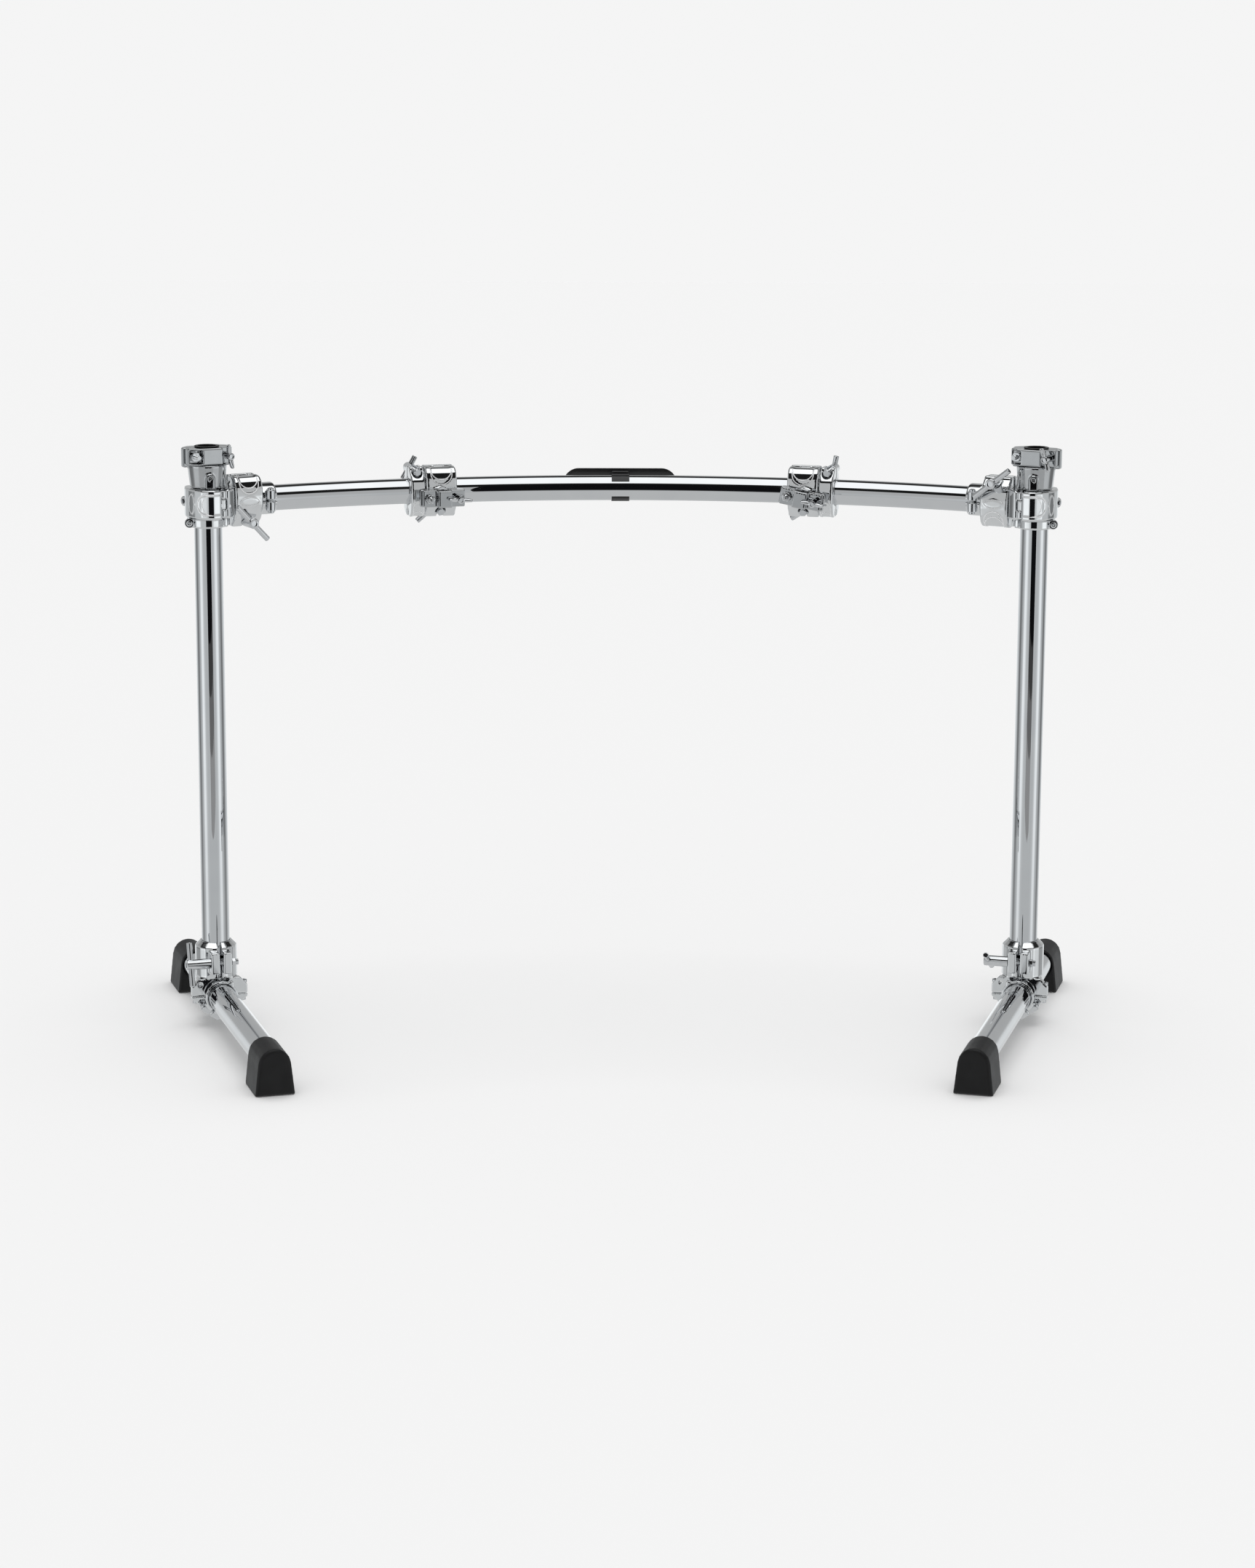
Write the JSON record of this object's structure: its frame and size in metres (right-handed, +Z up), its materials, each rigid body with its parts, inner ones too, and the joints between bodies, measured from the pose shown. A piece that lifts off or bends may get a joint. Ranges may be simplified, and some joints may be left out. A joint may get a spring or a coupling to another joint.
{
  "type": "drum rack frame",
  "caption": "Free-standing drum rack: two uprights on toed-in feet joined by a curved bar that carries hinged clamps and split collars for arms and stands.",
  "frame": {"origin": "middle of the footprint of the whole rack, on the floor", "axes": "+X towards the right of the seated player, +Y away from the player, +Z up"},
  "size_m": [1.2856, 0.5918, 0.8026],
  "materials": {
    "chrome": "polished chrome plating on steel tube and cast clamps",
    "rubber": "satin black moulded rubber",
    "plastic": "satin black moulded plastic"
  },
  "bodies": {
    "rack": {"curved_bar": "chrome", "badge_plate": "plastic", "left_corner_clamp_body": "chrome", "left_corner_pole_jaw": "chrome", "left_corner_bar_jaw": "chrome", "left_bar_lock": "chrome", "right_corner_clamp_body": "chrome", "right_corner_pole_jaw": "chrome", "right_corner_bar_jaw": "chrome", "right_bar_lock": "chrome"},
    "left_corner_t_screw": {"left_corner_bar_t_screw": "chrome"},
    "left_corner_pole_bolt": {"left_corner_pole_bolt": "chrome"},
    "left_pole_lock": {"left_pole_lock": "chrome"},
    "left_upright": {"left_pole": "chrome", "left_top_socket": "chrome", "left_top_collar_jaw": "chrome", "left_top_hinge_bolt": "chrome", "left_top_bushing": "plastic"},
    "left_top_wing_screw": {"left_top_wing_screw": "chrome"},
    "left_leg": {"left_leg_clamp_body": "chrome", "left_leg_clamp_jaw": "chrome", "left_foot_tube_lock": "chrome"},
    "left_leg_t_screw": {"left_leg_clamp_t_screw": "chrome"},
    "left_foot": {"left_foot_tube": "chrome", "left_front_foot": "rubber", "left_rear_foot": "rubber"},
    "left_narrow_clamp": {"left_narrow_clamp_body": "chrome", "left_narrow_clamp_jaw": "chrome"},
    "left_narrow_t_screw": {"left_narrow_clamp_t_screw": "chrome"},
    "left_wide_clamp": {"left_wide_clamp_body": "chrome", "left_wide_clamp_jaw": "chrome"},
    "left_wide_t_screw": {"left_wide_clamp_t_screw": "chrome"},
    "left_accessory": {"left_accessory_body": "chrome", "left_accessory_jaw": "chrome"},
    "left_accessory_wing_screw": {"left_accessory_wing_screw": "chrome"},
    "right_corner_t_screw": {"right_corner_bar_t_screw": "chrome"},
    "right_corner_pole_bolt": {"right_corner_pole_bolt": "chrome"},
    "right_pole_lock": {"right_pole_lock": "chrome"},
    "right_upright": {"right_pole": "chrome", "right_top_socket": "chrome", "right_top_collar_jaw": "chrome", "right_top_hinge_bolt": "chrome", "right_top_bushing": "plastic"},
    "right_top_wing_screw": {"right_top_wing_screw": "chrome"},
    "right_leg": {"right_leg_clamp_body": "chrome", "right_leg_clamp_jaw": "chrome", "right_foot_tube_lock": "chrome"},
    "right_leg_t_screw": {"right_leg_clamp_t_screw": "chrome"},
    "right_foot": {"right_foot_tube": "chrome", "right_front_foot": "rubber", "right_rear_foot": "rubber"},
    "right_narrow_clamp": {"right_narrow_clamp_body": "chrome", "right_narrow_clamp_jaw": "chrome"},
    "right_narrow_t_screw": {"right_narrow_clamp_t_screw": "chrome"},
    "right_wide_clamp": {"right_wide_clamp_body": "chrome", "right_wide_clamp_jaw": "chrome"},
    "right_wide_t_screw": {"right_wide_clamp_t_screw": "chrome"},
    "right_accessory": {"right_accessory_body": "chrome", "right_accessory_jaw": "chrome"},
    "right_accessory_wing_screw": {"right_accessory_wing_screw": "chrome"}
  },
  "joints": [
    {"name": "left_corner_t_screw_turn", "type": "hinge", "parent": "rack", "child": "left_corner_t_screw", "pos_m": [-0.49836, 0.07531, 0.69475], "axis": [-0.4603, 0.8878, 0], "continuous": true},
    {"name": "left_corner_pole_bolt_turn", "type": "hinge", "parent": "rack", "child": "left_corner_pole_bolt", "pos_m": [-0.57958, 0.10391, 0.7225], "axis": [-0.7021, -0.7121, 0], "continuous": true},
    {"name": "left_pole_turn", "type": "hinge", "parent": "rack", "child": "left_pole_lock", "pos_m": [-0.559, 0.08363, 0.7], "axis": [0, 0, 1], "range_deg": [-90, 25]},
    {"name": "left_pole_height", "type": "slide", "parent": "left_pole_lock", "child": "left_upright", "axis": [0, 0, 1], "range_m": [0, 0.56]},
    {"name": "left_top_wing_turn", "type": "hinge", "parent": "left_upright", "child": "left_top_wing_screw", "pos_m": [-0.53895, 0.09384, 0.7861], "axis": [-0.454, 0.891, 0], "continuous": true},
    {"name": "left_leg_turn", "type": "hinge", "parent": "left_upright", "child": "left_leg", "pos_m": [-0.559, 0.08363, 0.087], "axis": [0, 0, 1], "range_deg": [-180, 180]},
    {"name": "left_leg_t_screw_turn", "type": "hinge", "parent": "left_leg", "child": "left_leg_t_screw", "pos_m": [-0.58956, 0.03856, 0.08895], "axis": [0.9613, 0.2756, 0], "continuous": true},
    {"name": "left_foot_reach", "type": "slide", "parent": "left_leg", "child": "left_foot", "axis": [-0.2756, 0.9613, 0], "range_m": [-0.115, 0.27]},
    {"name": "left_clamp_travel", "type": "hinge", "parent": "rack", "child": "left_narrow_clamp", "pos_m": [0, -0.88588, 0.7225], "axis": [0, 0, 1], "range_deg": [-7.5, 9]},
    {"name": "left_narrow_t_screw_turn", "type": "hinge", "parent": "left_narrow_clamp", "child": "left_narrow_t_screw", "pos_m": [-0.29317, 0.22954, 0.75025], "axis": [0.2542, -0.9672, 0], "continuous": true},
    {"name": "left_wide_clamp_tilt", "type": "hinge", "parent": "left_narrow_clamp", "child": "left_wide_clamp", "pos_m": [-0.25207, 0.20334, 0.7225], "axis": [0.9743, 0.2255, 0], "range_deg": [-18, 15]},
    {"name": "left_wide_t_screw_turn", "type": "hinge", "parent": "left_wide_clamp", "child": "left_wide_t_screw", "pos_m": [-0.26002, 0.23773, 0.69475], "axis": [0.2255, -0.9743, 0], "continuous": true},
    {"name": "left_accessory_turn", "type": "hinge", "parent": "left_wide_clamp", "child": "left_accessory", "pos_m": [-0.24415, 0.15585, 0.7185], "axis": [-0.2255, 0.9743, 0], "continuous": true},
    {"name": "left_accessory_wing_turn", "type": "hinge", "parent": "left_accessory", "child": "left_accessory_wing_screw", "pos_m": [-0.22516, 0.16024, 0.7185], "axis": [-0.2255, 0.9743, 0], "continuous": true},
    {"name": "right_corner_t_screw_turn", "type": "hinge", "parent": "rack", "child": "right_corner_t_screw", "pos_m": [0.49836, 0.07531, 0.75025], "axis": [0.4603, 0.8878, 0], "continuous": true},
    {"name": "right_corner_pole_bolt_turn", "type": "hinge", "parent": "rack", "child": "right_corner_pole_bolt", "pos_m": [0.57958, 0.10391, 0.7225], "axis": [0.7021, -0.7121, 0], "continuous": true},
    {"name": "right_pole_turn", "type": "hinge", "parent": "rack", "child": "right_pole_lock", "pos_m": [0.559, 0.08363, 0.7], "axis": [0, 0, 1], "range_deg": [-25, 90]},
    {"name": "right_pole_height", "type": "slide", "parent": "right_pole_lock", "child": "right_upright", "axis": [0, 0, 1], "range_m": [0, 0.56]},
    {"name": "right_top_wing_turn", "type": "hinge", "parent": "right_upright", "child": "right_top_wing_screw", "pos_m": [0.57905, 0.07341, 0.7861], "axis": [0.454, 0.891, 0], "continuous": true},
    {"name": "right_leg_turn", "type": "hinge", "parent": "right_upright", "child": "right_leg", "pos_m": [0.559, 0.08363, 0.087], "axis": [0, 0, 1], "range_deg": [-180, 180]},
    {"name": "right_leg_t_screw_turn", "type": "hinge", "parent": "right_leg", "child": "right_leg_t_screw", "pos_m": [0.5092, 0.0616, 0.08895], "axis": [0.9613, -0.2756, 0], "continuous": true},
    {"name": "right_foot_reach", "type": "slide", "parent": "right_leg", "child": "right_foot", "axis": [0.2756, 0.9613, 0], "range_m": [-0.115, 0.27]},
    {"name": "right_clamp_travel", "type": "hinge", "parent": "rack", "child": "right_narrow_clamp", "pos_m": [0, -0.88588, 0.7225], "axis": [0, 0, 1], "range_deg": [-9, 7.5]},
    {"name": "right_narrow_t_screw_turn", "type": "hinge", "parent": "right_narrow_clamp", "child": "right_narrow_t_screw", "pos_m": [0.29648, 0.22866, 0.75025], "axis": [-0.2571, -0.9664, 0], "continuous": true},
    {"name": "right_wide_clamp_tilt", "type": "hinge", "parent": "right_narrow_clamp", "child": "right_wide_clamp", "pos_m": [0.2553, 0.20258, 0.7225], "axis": [0.9736, -0.2284, 0], "range_deg": [-18, 15]},
    {"name": "right_wide_t_screw_turn", "type": "hinge", "parent": "right_wide_clamp", "child": "right_wide_t_screw", "pos_m": [0.26336, 0.23695, 0.69475], "axis": [-0.2284, -0.9736, 0], "continuous": true},
    {"name": "right_accessory_turn", "type": "hinge", "parent": "right_wide_clamp", "child": "right_accessory", "pos_m": [0.24724, 0.15512, 0.7185], "axis": [0.2284, 0.9736, 0], "continuous": true},
    {"name": "right_accessory_wing_turn", "type": "hinge", "parent": "right_accessory", "child": "right_accessory_wing_screw", "pos_m": [0.26594, 0.15073, 0.71511], "axis": [0.2284, 0.9736, 0], "continuous": true}
  ]
}
